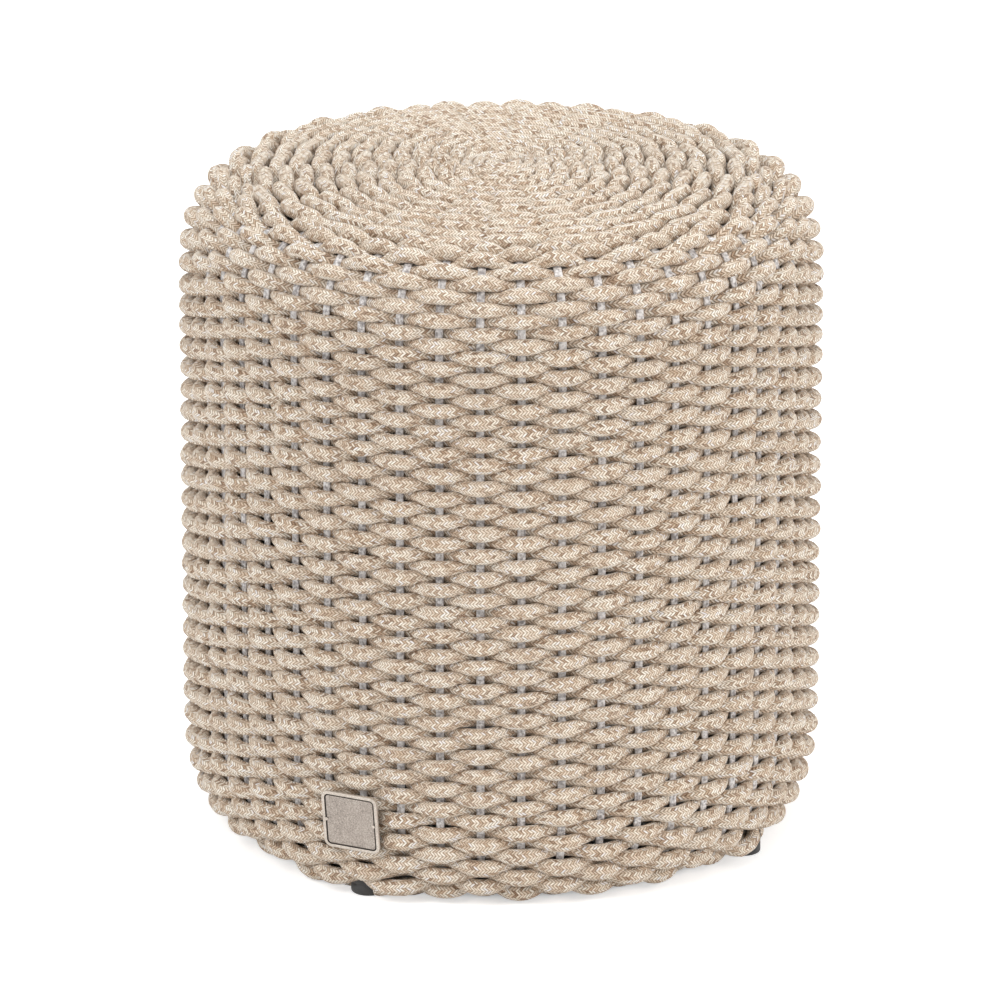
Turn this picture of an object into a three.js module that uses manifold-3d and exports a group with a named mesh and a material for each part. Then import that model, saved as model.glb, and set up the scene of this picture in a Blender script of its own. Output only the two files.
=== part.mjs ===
// Outdoor footstool: a round frame of aluminium tube and hoops, flat straps
// looped round it, and a shell of thick rope woven over the straps.
// Units are millimetres, +Z is up, the front faces -Y, and the floor is at zero.

import * as THREE from 'three';
import { mergeVertices } from 'three/addons/utils/BufferGeometryUtils.js';
import Module from 'manifold-3d';

const wasm = await Module();
wasm.setup();

// Overall form, measured to the crests of the rope
const overallHeight = 450;
const weaveRadius = 212;
const crownRise = 9.3; // rise of the domed top from its edge to its middle
const shoulderWidth = 32.6;
const shoulderDrop = 56.8;
const footWidth = 31; // how far the lower corner draws in
const footRise = 66.4;
const floorGap = 3; // from the floor to the lowest rope
const turnUnder = 10; // how far the weave runs in under the base
const roundingShare = 0.5523; // handle length that makes a curve a quarter ellipse

// Weave
const strapCount = 48; // strap legs round the side
const rowPitch = 7.37;
const topRowPitch = 6.8;
const reliefDepth = 6; // how far a rope dips where it passes behind a strap
const coilRadius = 27; // coil of rope at the middle of the top
const coilRows = 4;

// Straps
const strapDepth = 12; // from the rope's crest to the middle of the strap
const strapWidth = 5.5;
const strapThickness = 1.5;
const loopHeight = 11; // of the stretch that crosses behind the base ring

// Frame
const ringTube = 14; // square tube of the base ring and the top ring
const topRingInset = 31; // from the side's crest to the top ring's outer face
const topRingDrop = 22.35; // from the crown to the top ring's upper face
const hoopThickness = 3;
const hoopHeight = 18;
const postDiameter = 14; // uprights and spokes
const postBend = 48; // height of the bend at each end of an upright
const hubRadius = 34;
const hubStemRadius = 20;
const hubHeight = 19;
const hubFlange = 3;
const strapEndRadius = 24; // where the long straps end on the hub
const postCount = 4;
const postTurn = 28.3; // degrees from the front to the first glide
const uprightTurn = 45; // degrees from a glide to the next upright

// Glides
const glideDiameter = 23.2;
const glideChamfer = 1.5;
const studDiameter = 6;
const studInset = 5; // from the floor to the lower end of the stud
const studReach = 9; // of the stud into the base ring

// Badge, a plain plate
const badgeSize = 39;
const badgeCorner = 5;
const badgeThickness = 2;
const badgeRim = 2.6;
const badgeRecess = 0.6;
const badgeHeight = 58.6; // from the floor to the middle of the plate
const badgeTurn = -27; // degrees from the front, towards -X
const badgeTilt = 7.5; // degrees that its lower edge leans in
const rivetDiameter = 1.6;
const rivetHead = 2.2;
const rivetHeadHeight = 0.5;
const rivetInset = 2.4; // from the plate's side edge to the rivet
const backingHeight = 10;
const backingThickness = 1.5;
const hoopRoom = 2; // from the backing up to the lower hoop

// Clearances
const seatGap = 0.3; // between pieces that seat on each other
const seamGap = 0.8; // between the woven shells of the side and the top
const overrun = 1; // how far a cutting tool passes the face that it cuts

// Colours and finishes
const finish = (color, roughness, metalness) =>
  new THREE.MeshStandardMaterial({ color, roughness, metalness });
const ropeFinish = finish(0xc9b597, 0.95, 0);
const strapFinish = finish(0xc4c4c2, 0.6, 0);
const frameFinish = finish(0x8f8f8d, 0.45, 0.8);
const glideFinish = finish(0x1c1c1d, 0.6, 0);
const steelFinish = finish(0xa9a9a8, 0.35, 1);
const badgeFinish = finish(0x9a948a, 0.35, 0.9);

const footstool = new THREE.Group();

function addPiece(name, geometry, material) {
  const piece = new THREE.Mesh(geometry, material);
  piece.name = name;
  footstool.add(piece);
  return piece;
}

// Angles run anticlockwise seen from above, from +X. The front is at -Y.
const front = -Math.PI / 2;
const toAngle = (degreesFromFront) => front + THREE.MathUtils.degToRad(degreesFromFront);
const topStrapCount = strapCount / 2;
const strapStep = (2 * Math.PI) / strapCount;
const strapAngle = (index) => front + (index + 0.5) * strapStep;
const flatShare = 1 / Math.cos(strapStep / 2); // corner radius over flat radius
const pairShare = Math.cos(strapStep / 2) / Math.cos(strapStep);

const pointAt = (place, angle, widen = 1) => new THREE.Vector3(
  place.x * widen * Math.cos(angle),
  place.x * widen * Math.sin(angle),
  place.y,
);

// Half outline of the rope's crests, from the crown to the turned-under edge.
// x is the distance from the middle and y is the height.
const crownEdge = new THREE.Vector2(weaveRadius - shoulderWidth, overallHeight - crownRise);
const sideTop = new THREE.Vector2(weaveRadius, crownEdge.y - shoulderDrop);
const sideBottom = new THREE.Vector2(weaveRadius, floorGap + footRise);
const footEdge = new THREE.Vector2(weaveRadius - footWidth, floorGap);
const tuckedEdge = new THREE.Vector2(footEdge.x - turnUnder, floorGap);

function cornerCurve(start, corner, end) {
  const leaving = start.clone().lerp(corner, roundingShare);
  const arriving = end.clone().lerp(corner, roundingShare);
  return new THREE.CubicBezierCurve(start, leaving, arriving, end);
}

const crownSlope = (2 * crownRise) / crownEdge.x;
const shoulderCorner = new THREE.Vector2(weaveRadius, crownEdge.y - crownSlope * shoulderWidth);
const outline = new THREE.CurvePath();
outline.add(new THREE.QuadraticBezierCurve(
  new THREE.Vector2(0, overallHeight),
  new THREE.Vector2(crownEdge.x / 2, overallHeight),
  crownEdge,
));
outline.add(cornerCurve(crownEdge, shoulderCorner, sideTop));
outline.add(new THREE.LineCurve(sideTop, sideBottom));
outline.add(cornerCurve(sideBottom, new THREE.Vector2(weaveRadius, floorGap), footEdge));
outline.add(new THREE.LineCurve(footEdge, tuckedEdge));
const [crownLength, shoulderEnd, sideEnd, footEnd, outlineLength] = outline.getCurveLengths();

// A place on the outline, a distance along it and sunk below the crests
function outlinePlace(distance, depth) {
  const share = distance / outlineLength;
  const along = outline.getTangent(share);
  const inward = new THREE.Vector2(along.y, -along.x);
  return outline.getPoint(share).addScaledVector(inward, depth);
}

// A line of places moved sideways, with mitred corners
function offsetLine(places, offset) {
  return places.map((place, index) => {
    const before = places[Math.max(index - 1, 0)];
    const after = places[Math.min(index + 1, places.length - 1)];
    const arriving = place.clone().sub(before);
    const leaving = after.clone().sub(place);
    if (index === 0) arriving.copy(leaving);
    if (index === places.length - 1) leaving.copy(arriving);
    arriving.normalize();
    leaving.normalize();
    const mitre = arriving.clone().add(leaving).normalize();
    const stretch = 1 / mitre.dot(arriving);
    const outward = new THREE.Vector2(-mitre.y, mitre.x);
    return place.clone().addScaledVector(outward, offset * stretch);
  });
}

// A closed skin through rings of equally many points. It starts and ends on a
// point, on a flat cap, or joins up with itself. Where four points don't lie
// in one plane, the quad folds along the diagonal that lies nearer the middle.
function skin(rings, { first = null, last = null, joined = false } = {}) {
  const size = rings[0].length;
  const points = rings.flat();
  const depth = points.map((point) => point.sunk ?? 0);
  const faces = [];
  const bands = joined ? rings.length : rings.length - 1;
  for (let band = 0; band < bands; band++) {
    for (let step = 0; step < size; step++) {
      const a = band * size + step;
      const b = band * size + ((step + 1) % size);
      const c = ((band + 1) % rings.length) * size + step;
      const d = ((band + 1) % rings.length) * size + ((step + 1) % size);
      if (depth[a] + depth[d] >= depth[b] + depth[c]) {
        faces.push(a, c, d, a, d, b);
      } else {
        faces.push(a, c, b, b, c, d);
      }
    }
  }
  const close = (start, reverse, apex) => {
    const centre = points.length;
    if (apex) points.push(apex);
    for (let step = 0; step < size; step++) {
      const here = start + step;
      const next = start + ((step + 1) % size);
      if (apex) faces.push(centre, ...(reverse ? [here, next] : [next, here]));
      else if (step > 0 && step < size - 1) {
        faces.push(start, ...(reverse ? [here, next] : [next, here]));
      }
    }
  };
  if (!joined) {
    close(0, true, first);
    close((rings.length - 1) * size, false, last);
  }
  const geometry = new THREE.BufferGeometry();
  geometry.setAttribute('position', new THREE.Float32BufferAttribute(
    points.flatMap((point) => point.toArray()), 3,
  ));
  geometry.setIndex(faces);
  geometry.computeVertexNormals();
  return geometry;
}

// Joining and cutting
function toSolid(geometry) {
  const bare = geometry.clone();
  bare.deleteAttribute('normal');
  bare.deleteAttribute('uv');
  const merged = mergeVertices(bare);
  return new wasm.Manifold(new wasm.Mesh({
    numProp: 3,
    vertProperties: new Float32Array(merged.attributes.position.array),
    triVerts: new Uint32Array(merged.index.array),
  }));
}

function toGeometry(solid) {
  const mesh = solid.getMesh();
  const geometry = new THREE.BufferGeometry();
  geometry.setAttribute('position', new THREE.BufferAttribute(mesh.vertProperties, 3));
  geometry.setIndex(new THREE.BufferAttribute(mesh.triVerts, 1));
  geometry.computeVertexNormals();
  return geometry;
}

const join = (...geometries) => toGeometry(
  geometries.map(toSolid).reduce((whole, solid) => whole.add(solid)),
);
const cut = (geometry, ...tools) => toGeometry(
  tools.map(toSolid).reduce((whole, tool) => whole.subtract(tool), toSolid(geometry)),
);

// Turned work: a profile of places spun round the middle
function turned(profile, segments) {
  return new THREE.LatheGeometry(profile, segments).rotateX(Math.PI / 2);
}

// A hoop of rectangular section. Each of its flats lies behind one strap leg,
// or behind the two legs of one strap, and the radii are those at the legs.
function hoop(innerRadius, outerRadius, bottom, top, flats) {
  const widen = flats === strapCount ? flatShare : pairShare;
  return turned([
    new THREE.Vector2(innerRadius * widen, bottom),
    new THREE.Vector2(outerRadius * widen, bottom),
    new THREE.Vector2(outerRadius * widen, top),
    new THREE.Vector2(innerRadius * widen, top),
    new THREE.Vector2(innerRadius * widen, bottom),
  ], flats);
}

// A round bar between two points
function bar(start, end, diameter, segments) {
  const length = start.distanceTo(end);
  const geometry = new THREE.CylinderGeometry(diameter / 2, diameter / 2, length, segments);
  const along = end.clone().sub(start).normalize();
  geometry.applyQuaternion(
    new THREE.Quaternion().setFromUnitVectors(new THREE.Vector3(0, 1, 0), along),
  );
  return geometry.translate(...start.clone().lerp(end, 0.5).toArray());
}

// Frame rings. The straps' inner faces seat on them.
const strapFace = strapThickness / 2 + seatGap; // from a strap's middle to its seat
const baseRingRadius = footEdge.x;
const baseRingBottom = floorGap + strapDepth + strapFace;
const baseRingTop = baseRingBottom + ringTube;
const baseRingInner = baseRingRadius - ringTube / 2;
const baseRingOuter = baseRingRadius + ringTube / 2;
const topRingOuter = weaveRadius - topRingInset;
const topRingInner = topRingOuter - ringTube;
const topRingRadius = topRingOuter - ringTube / 2;
const topRingTop = overallHeight - topRingDrop;
const topRingBottom = topRingTop - ringTube;
const hoopOuter = weaveRadius - strapDepth - strapFace;
const hoopInner = hoopOuter - hoopThickness;

// Middle line of a long strap, from the hub over the shoulder to the base ring
const strapPath = [
  new THREE.Vector2(strapEndRadius, overallHeight - strapDepth),
  new THREE.Vector2(topRingOuter + strapFace, topRingTop + strapFace),
  outlinePlace((crownLength + shoulderEnd) / 2, strapDepth),
  outlinePlace(shoulderEnd, strapDepth),
  outlinePlace(sideEnd, strapDepth),
  outlinePlace((sideEnd + footEnd) / 2, strapDepth),
  new THREE.Vector2(baseRingOuter + strapFace, baseRingBottom - strapFace),
  new THREE.Vector2(baseRingInner - strapFace, baseRingBottom - strapFace),
];
const strapOutside = offsetLine(strapPath, strapThickness / 2);
const strapInside = offsetLine(strapPath, -strapThickness / 2);
const weaveInside = offsetLine(strapPath, strapFace);

// Woven shell of the side. A rope stands out where it passes over a strap and
// sinks where it passes behind one, and the next row does it the other way.
function woven(distance, row, columns, columnAngle) {
  const ring = [];
  for (let column = 0; column < columns; column++) {
    const sunk = (row + column) % 2 === 0 ? 0 : reliefDepth;
    const point = pointAt(outlinePlace(distance, sunk), columnAngle(column));
    point.sunk = sunk;
    ring.push(point);
  }
  return ring;
}

const betweenStraps = (place) => Array.from(
  { length: strapCount },
  (_, column) => pointAt(place, strapAngle(column + 0.5), flatShare),
);

const liningDepth = strapDepth - strapFace; // from the crests to the shell's inside

function sideShell() {
  const start = crownLength + seamGap / 2;
  const length = outlineLength - start;
  const rows = Math.round(length / rowPitch);
  const rings = [];
  for (let row = 0; row <= rows; row++) {
    rings.push(woven(start + (row / rows) * length, row, strapCount, strapAngle));
  }
  const lining = [
    outlinePlace(start, liningDepth),
    ...weaveInside.slice(1, -1),
    outlinePlace(outlineLength, liningDepth),
  ];
  lining.reverse().forEach((place) => rings.push(betweenStraps(place)));
  return skin(rings, { joined: true });
}

// Woven shell of the top, over every second strap, with a coil at the middle
const topStrapAngle = (index) => strapAngle(2 * index);

function topShell() {
  const rim = crownLength - seamGap / 2;
  const rows = Math.round((rim - coilRadius) / topRowPitch);
  const rings = [];
  for (let row = 1; row < coilRows; row++) {
    const sunk = row % 2 === 1 ? 0 : reliefDepth / 2;
    const place = outlinePlace((row / coilRows) * coilRadius, sunk);
    rings.push(Array.from({ length: topStrapCount }, (_, i) => pointAt(place, topStrapAngle(i))));
  }
  for (let row = 0; row <= rows; row++) {
    const distance = coilRadius + (row / rows) * (rim - coilRadius);
    rings.push(woven(distance, row, topStrapCount, topStrapAngle));
  }
  const [hubPlace, ringPlace] = weaveInside;
  const rimPlace = outlinePlace(rim, liningDepth);
  const rimShare = (rimPlace.x - hubPlace.x) / (ringPlace.x - hubPlace.x);
  const rimInside = hubPlace.clone().lerp(ringPlace, rimShare);
  [rimInside, hubPlace].forEach((place) => rings.push(
    Array.from({ length: topStrapCount }, (_, i) => pointAt(place, topStrapAngle(i + 0.5))),
  ));
  return skin(rings, {
    first: new THREE.Vector3(0, 0, overallHeight - reliefDepth / 2),
    last: new THREE.Vector3(0, 0, hubPlace.y),
  });
}

// One leg of a strap, swept along the outside of the frame
function strapLeg(firstPlace, angle) {
  const across = new THREE.Vector3(-Math.sin(angle), Math.cos(angle), 0);
  const rings = [];
  for (let index = firstPlace; index < strapPath.length; index++) {
    const outside = pointAt(strapOutside[index], angle);
    const inside = pointAt(strapInside[index], angle);
    rings.push([
      outside.clone().addScaledVector(across, -strapWidth / 2),
      outside.clone().addScaledVector(across, strapWidth / 2),
      inside.clone().addScaledVector(across, strapWidth / 2),
      inside.clone().addScaledVector(across, -strapWidth / 2),
    ]);
  }
  return skin(rings);
}

// The stretch of a strap that crosses from one leg to the next behind the base
// ring. It stands on the ring's inner face.
function strapLoop(angle, nextAngle) {
  const middle = (angle + nextAngle) / 2;
  const halfStep = (nextAngle - angle) / 2;
  const loopRadius = strapPath.at(-1).x * Math.cos(halfStep);
  const span = 2 * strapPath.at(-1).x * Math.sin(halfStep) + strapWidth;
  const bottom = strapOutside.at(-1).y;
  return new THREE.BoxGeometry(strapThickness, span, loopHeight)
    .translate(loopRadius, 0, bottom + loopHeight / 2)
    .rotateZ(middle);
}

function strap(index) {
  const longAngle = strapAngle(2 * index);
  const shortAngle = strapAngle(2 * index + 1);
  return join(
    strapLeg(0, longAngle),
    strapLeg(1, shortAngle),
    strapLoop(longAngle, shortAngle),
  );
}

// Uprights: bent tubes that stand on the base ring, lean on the hoops and
// carry the top ring
const postSides = 8;
const postRadius = postDiameter / 2;

function upright(angle) {
  const standRadius = hoopInner - seatGap - postRadius;
  const foot = new THREE.Vector2(baseRingRadius, baseRingTop + seatGap);
  const head = new THREE.Vector2(topRingRadius, topRingBottom - seatGap);
  const bendTop = new THREE.Vector2(standRadius, foot.y + postBend);
  const bendBottom = new THREE.Vector2(standRadius, head.y - postBend);
  const footBend = new THREE.CubicBezierCurve(
    foot,
    new THREE.Vector2(foot.x, (foot.y + bendTop.y) / 2),
    new THREE.Vector2(standRadius, (foot.y + bendTop.y) / 2),
    bendTop,
  );
  const headBend = new THREE.CubicBezierCurve(
    bendBottom,
    new THREE.Vector2(standRadius, (head.y + bendBottom.y) / 2),
    new THREE.Vector2(head.x, (head.y + bendBottom.y) / 2),
    head,
  );
  const bendSteps = 3;
  const rings = [footBend, headBend].flatMap((bend) => Array.from(
    { length: bendSteps + 1 },
    (_, step) => {
      const share = step / bendSteps;
      const place = bend.getPoint(share);
      const along = bend.getTangent(share);
      const normal = new THREE.Vector2(along.y, -along.x);
      return tubeRing(place, normal, angle);
    },
  ));
  return skin(rings);
}

// Points round a tube's section that stands square to its middle line
function tubeRing(place, normal, angle) {
  const across = new THREE.Vector3(-Math.sin(angle), Math.cos(angle), 0);
  return Array.from({ length: postSides }, (_, side) => {
    const turn = ((side + 0.5) / postSides) * 2 * Math.PI;
    const edge = place.clone().addScaledVector(normal, postRadius * Math.cos(turn));
    return pointAt(edge, angle).addScaledVector(across, -postRadius * Math.sin(turn));
  });
}

// Hub and spokes, under the long straps, which fall a little from the hub to
// the top ring
const [strapHub, strapRing] = strapInside;
const strapFall = (strapHub.y - strapRing.y) / (strapRing.x - strapHub.x);
const underStraps = (radius) => strapRing.y + strapFall * (strapRing.x - radius) - seatGap;
const hubTop = underStraps(hubRadius);

function hub() {
  return turned([
    new THREE.Vector2(0, hubTop - hubHeight),
    new THREE.Vector2(hubStemRadius, hubTop - hubHeight),
    new THREE.Vector2(hubStemRadius, hubTop - hubFlange),
    new THREE.Vector2(hubRadius, hubTop - hubFlange),
    new THREE.Vector2(hubRadius, hubTop),
    new THREE.Vector2(0, hubTop),
  ], topStrapCount);
}

function spoke(angle) {
  const drop = (seatGap + postRadius) * Math.hypot(1, strapFall);
  const hubEnd = new THREE.Vector2(hubStemRadius / 2, hubTop - hubFlange - drop);
  const ringEnd = new THREE.Vector2(topRingRadius, topRingTop - ringTube / 2);
  const blank = bar(pointAt(hubEnd, angle), pointAt(ringEnd, angle), postDiameter, postSides);
  const ringSeat = hoop(
    topRingInner - seatGap,
    weaveRadius,
    topRingBottom - overrun,
    topRingTop + ringTube,
    topStrapCount,
  );
  const hubSeat = turned([
    new THREE.Vector2(0, hubTop - 2 * hubHeight),
    new THREE.Vector2(hubStemRadius + seatGap, hubTop - 2 * hubHeight),
    new THREE.Vector2(hubStemRadius + seatGap, hubTop + hubHeight),
    new THREE.Vector2(0, hubTop + hubHeight),
  ], topStrapCount);
  return cut(blank, ringSeat, hubSeat);
}

// Glides: moulded plastic round a threaded stud that goes up into the ring
const glideRadius = glideDiameter / 2;
const studRadius = studDiameter / 2;
const glideTop = floorGap + strapDepth - strapThickness / 2 - seatGap;
const glideSegments = 12;
const studSides = 8;

function glide() {
  return turned([
    new THREE.Vector2(0, 0),
    new THREE.Vector2(glideRadius - glideChamfer, 0),
    new THREE.Vector2(glideRadius, glideChamfer),
    new THREE.Vector2(glideRadius, glideTop),
    new THREE.Vector2(studRadius + seatGap, glideTop),
    new THREE.Vector2(studRadius + seatGap, studInset),
    new THREE.Vector2(0, studInset),
  ], glideSegments);
}

const studTop = baseRingBottom + studReach;

function studAt(angle, clearance) {
  const place = (height) => pointAt(new THREE.Vector2(baseRingRadius, height), angle);
  return bar(
    place(studInset + seatGap - clearance),
    place(studTop + clearance),
    studDiameter + 2 * clearance,
    studSides,
  );
}

function baseRing(angles) {
  const ring = hoop(baseRingInner, baseRingOuter, baseRingBottom, baseRingTop, strapCount);
  return cut(ring, ...angles.map((angle) => studAt(angle, seatGap)));
}

// The rope goes round each glide with a little room
function glidePocket(angle) {
  const place = (height) => pointAt(new THREE.Vector2(baseRingRadius, height), angle);
  return bar(
    place(-overrun),
    place(glideTop + overrun),
    glideDiameter + 2 * seatGap,
    glideSegments,
  );
}

// Badge: a plain plate with a raised rim, riveted through the weave to a
// backing behind the straps. It is drawn flat, facing +Z with its back at
// zero, and then set against the weave.
function roundedSquare(size, corner) {
  const half = size / 2;
  const shape = new THREE.Shape();
  shape.moveTo(-half + corner, -half);
  shape.lineTo(half - corner, -half);
  shape.absarc(half - corner, -half + corner, corner, -Math.PI / 2, 0);
  shape.lineTo(half, half - corner);
  shape.absarc(half - corner, half - corner, corner, 0, Math.PI / 2);
  shape.lineTo(-half + corner, half);
  shape.absarc(-half + corner, half - corner, corner, Math.PI / 2, Math.PI);
  shape.lineTo(-half, -half + corner);
  shape.absarc(-half + corner, -half + corner, corner, Math.PI, 1.5 * Math.PI);
  return shape;
}

const plateFrom = (shape, depth) =>
  new THREE.ExtrudeGeometry(shape, { depth, bevelEnabled: false, curveSegments: 2 });

const rivetRadius = rivetDiameter / 2;
const rivetOffset = badgeSize / 2 - rivetInset;
const rivetSides = 8;
const badgeFace = badgeThickness - badgeRecess;

function rivetHole(side) {
  return new THREE.CylinderGeometry(
    rivetRadius + seatGap,
    rivetRadius + seatGap,
    rivetTail + 2 * badgeThickness,
    rivetSides,
  ).rotateX(Math.PI / 2).translate(side * rivetOffset, 0, -rivetTail / 2);
}

function badgePlate() {
  const plate = plateFrom(roundedSquare(badgeSize, badgeCorner), badgeThickness);
  const field = roundedSquare(badgeSize - 2 * badgeRim, badgeCorner - badgeRim / 2);
  const recess = plateFrom(field, badgeThickness).translate(0, 0, badgeFace);
  return cut(plate, recess, rivetHole(-1), rivetHole(1));
}

function rivet(side) {
  const headBottom = badgeThickness + seatGap;
  const tailTop = -rivetTail;
  return turned([
    new THREE.Vector2(0, tailTop - rivetHeadHeight),
    new THREE.Vector2(rivetHead / 2, tailTop - rivetHeadHeight),
    new THREE.Vector2(rivetHead / 2, tailTop),
    new THREE.Vector2(rivetRadius, tailTop),
    new THREE.Vector2(rivetRadius, headBottom),
    new THREE.Vector2(rivetHead / 2, headBottom),
    new THREE.Vector2(rivetHead / 2, headBottom + rivetHeadHeight / 2),
    new THREE.Vector2(0, headBottom + rivetHeadHeight),
  ], rivetSides).translate(side * rivetOffset, 0, 0);
}

function badgeBacking() {
  const backing = new THREE.BoxGeometry(badgeSize, backingHeight, backingThickness)
    .translate(0, 0, -backingDepth - backingThickness / 2);
  return cut(backing, rivetHole(-1), rivetHole(1));
}

// Where the plate's back touches the crests: its plane leans like the outline
// does there
const badgeLean = THREE.MathUtils.degToRad(badgeTilt);
const outlineSamples = 200;
const badgeReach = Math.max(...Array.from({ length: outlineSamples + 1 }, (_, sample) => {
  const share = sample / outlineSamples;
  const place = outlinePlace(sideEnd + share * (footEnd - sideEnd), 0);
  return place.x - Math.tan(badgeLean) * (place.y - badgeHeight);
})) + seatGap / Math.cos(badgeLean);

// Radius of the straps' inner faces at a height below the shoulder
function strapSeatAt(height) {
  const next = strapInside.findIndex((place) => place.y < height);
  const [upper, lower] = [strapInside[next - 1], strapInside[next]];
  return THREE.MathUtils.mapLinear(height, lower.y, upper.y, lower.x, upper.x);
}

// The backing's ends seat on the straps. It lies this far behind the plate.
const backingDepth = Math.max(...[-1, 0, 1].map((step) => {
  const height = badgeHeight + step * backingHeight;
  const plane = badgeReach + Math.tan(badgeLean) * (height - badgeHeight);
  const seat = Math.sqrt(strapSeatAt(height) ** 2 - (badgeSize / 2) ** 2);
  return (plane - seat) * Math.cos(badgeLean) + seatGap;
}));
const rivetTail = backingDepth + backingThickness + seatGap;
const backingTop = badgeHeight + backingHeight / 2 + rivetTail * Math.sin(badgeLean);
const lowerHoopBottom = Math.max(sideBottom.y, backingTop + hoopRoom);

function badgePlacement() {
  const angle = toAngle(badgeTurn);
  const outward = new THREE.Vector3(Math.cos(angle), Math.sin(angle), 0);
  const facing = outward.clone().multiplyScalar(Math.cos(badgeLean));
  facing.z = -Math.sin(badgeLean);
  const right = new THREE.Vector3(-Math.sin(angle), Math.cos(angle), 0);
  const up = facing.clone().cross(right);
  const centre = outward.multiplyScalar(badgeReach).setZ(badgeHeight);
  return new THREE.Matrix4().makeBasis(right, up, facing).setPosition(centre);
}

// Putting it together
const anglesFrom = (turn) => Array.from(
  { length: postCount },
  (_, index) => toAngle(turn + (index * 360) / postCount),
);
const glideAngles = anglesFrom(-postTurn);
const uprightAngles = anglesFrom(uprightTurn - postTurn);
const badgePose = badgePlacement();
const onBadge = (geometry) => geometry.applyMatrix4(badgePose);
const badgeHoles = [-1, 1].map((side) => onBadge(rivetHole(side)));

addPiece('base_ring', baseRing(glideAngles), frameFinish);
addPiece(
  'top_ring',
  hoop(topRingInner, topRingOuter, topRingBottom, topRingTop, topStrapCount),
  frameFinish,
);
addPiece(
  'lower_hoop',
  hoop(hoopInner, hoopOuter, lowerHoopBottom, lowerHoopBottom + hoopHeight, topStrapCount),
  frameFinish,
);
addPiece(
  'upper_hoop',
  hoop(hoopInner, hoopOuter, sideTop.y - hoopHeight, sideTop.y, topStrapCount),
  frameFinish,
);
addPiece('hub', hub(), frameFinish);

uprightAngles.forEach((angle, index) => {
  addPiece(`upright_${index + 1}`, upright(angle), frameFinish);
  addPiece(`spoke_${index + 1}`, spoke(angle), frameFinish);
});
glideAngles.forEach((angle, index) => {
  const number = index + 1;
  addPiece(`glide_stud_${number}`, studAt(angle, 0), steelFinish);
  const foot = addPiece(`glide_${number}`, glide(), glideFinish);
  foot.position.copy(pointAt(new THREE.Vector2(baseRingRadius, 0), angle));
});

for (let index = 0; index < topStrapCount; index++) {
  const number = String(index + 1).padStart(2, '0');
  addPiece(`strap_${number}`, cut(strap(index), ...badgeHoles), strapFinish);
}

addPiece(
  'weave_side',
  cut(sideShell(), ...glideAngles.map(glidePocket), ...badgeHoles),
  ropeFinish,
);
addPiece('weave_top', topShell(), ropeFinish);

addPiece('badge_plate', onBadge(badgePlate()), badgeFinish);
addPiece('badge_rivet_left', onBadge(rivet(-1)), badgeFinish);
addPiece('badge_rivet_right', onBadge(rivet(1)), badgeFinish);
addPiece('badge_backing', onBadge(badgeBacking()), frameFinish);

export default footstool;
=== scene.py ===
import math

import bpy
import numpy as np
from mathutils import Matrix, Vector


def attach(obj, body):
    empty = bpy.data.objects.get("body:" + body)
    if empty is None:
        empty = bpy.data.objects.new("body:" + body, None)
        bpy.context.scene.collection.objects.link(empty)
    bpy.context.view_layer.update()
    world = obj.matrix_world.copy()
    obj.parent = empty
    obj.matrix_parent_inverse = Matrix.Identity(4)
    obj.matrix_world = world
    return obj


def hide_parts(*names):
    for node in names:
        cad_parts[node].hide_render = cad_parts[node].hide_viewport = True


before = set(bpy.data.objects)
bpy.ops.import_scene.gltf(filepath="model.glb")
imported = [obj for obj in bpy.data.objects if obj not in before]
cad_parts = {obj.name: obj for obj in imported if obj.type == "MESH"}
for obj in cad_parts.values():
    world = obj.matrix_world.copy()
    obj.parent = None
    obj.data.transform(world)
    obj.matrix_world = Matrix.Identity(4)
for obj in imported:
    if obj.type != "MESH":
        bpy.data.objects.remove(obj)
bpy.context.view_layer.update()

SEED = 418
rng = np.random.default_rng(SEED)

# Sizes are in millimetres, as in the part's source, until a mesh is made. Those of the
# materials, the floor, the lamps and the camera are in metres.
MM = 0.001

OVERALL_HEIGHT = 450.0
WEAVE_RADIUS = 212.0
CROWN_RISE = 9.3
SHOULDER_WIDTH = 32.6
SHOULDER_DROP = 56.8
FOOT_WIDTH = 31.0
FOOT_RISE = 66.4
FLOOR_GAP = 3.0
TURN_UNDER = 10.0
ROUNDING = 0.5523  # length of a curve's handles, as a share of the way to its corner

STRAP_COUNT = 48
TOP_STRAP_COUNT = STRAP_COUNT // 2
STRAP_DEPTH = 12.0  # below the crests of the ropes
STRAP_WIDTH = 5.5
STRAP_INSET = 0.2  # of each edge of a strap, which the rope covers
STRAP_THICKNESS = 1.5
STRAP_CHAMFER = 0.35
STRAP_END_RADIUS = 24.0
STRAP_OVERLAP = 2.0  # from the change of the weave inwards to a short leg's end
LOOP_HEIGHT = 11.0
SEAT_GAP = 0.3

RING_TUBE = 14.0
GLIDE_RADIUS = 11.6
GLIDE_TOP = 13.95
GLIDE_COUNT = 4
GLIDE_TURN = 28.3  # degrees

BADGE_SIZE = 39.0
BADGE_MARGIN = 0.6  # by which the plate is larger than its solid, on each side
BADGE_CORNER = 5.0
BADGE_THICKNESS = 2.0
BADGE_HEIGHT = 58.6
BADGE_TURN = -27.0  # degrees from the front
BADGE_TILT = 7.5  # degrees
RIVET_OFFSET = 17.1
RIVET_LENGTH = 15.0  # behind the plate

FRONT = -math.pi / 2
STRAP_STEP = 2 * math.pi / STRAP_COUNT

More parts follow.
